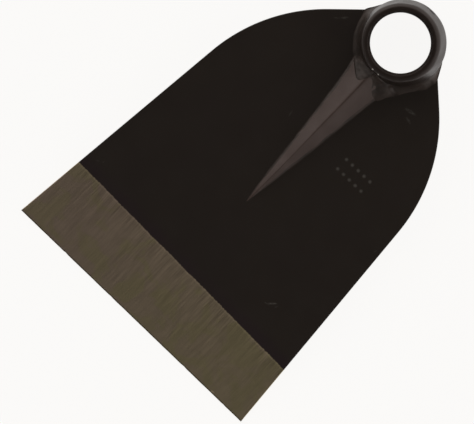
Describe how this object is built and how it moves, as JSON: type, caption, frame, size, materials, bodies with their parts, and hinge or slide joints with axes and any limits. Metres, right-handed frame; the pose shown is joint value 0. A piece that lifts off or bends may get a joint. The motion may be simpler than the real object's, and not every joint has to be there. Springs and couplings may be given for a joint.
{
  "type": "grub hoe head",
  "caption": "Broad hoe head: bowed black plate with round shoulders, bare ground cutting bit, pointed spine rib and a round handle eye in a short collar.",
  "frame": {"origin": "on the eye's axis, at the collar's rear rim, which is level with the cutting edge", "axes": "+Z along the eye's axis, out of the ribbed front face; the blade runs to -Y; X lies along the cutting edge"},
  "size_m": [0.2008, 0.2825, 0.038],
  "materials": {
    "black_lacquer": "thin glossy black lacquer on rolled steel, rubbed at the edges",
    "collar_lacquer": "the same lacquer on forged steel, with hammer marks",
    "weld_lacquer": "the same lacquer over rough weld",
    "ground_steel": "bare ground steel, dull, with grinding marks square to the cutting edge"
  },
  "bodies": {
    "root": {"blade_plate": "black_lacquer", "cutting_bit": "ground_steel", "eye_collar": "collar_lacquer", "spine_rib": "collar_lacquer", "collar_weld_front": "weld_lacquer", "collar_weld_back": "weld_lacquer", "rib_welds": "weld_lacquer"}
  },
  "joints": []
}
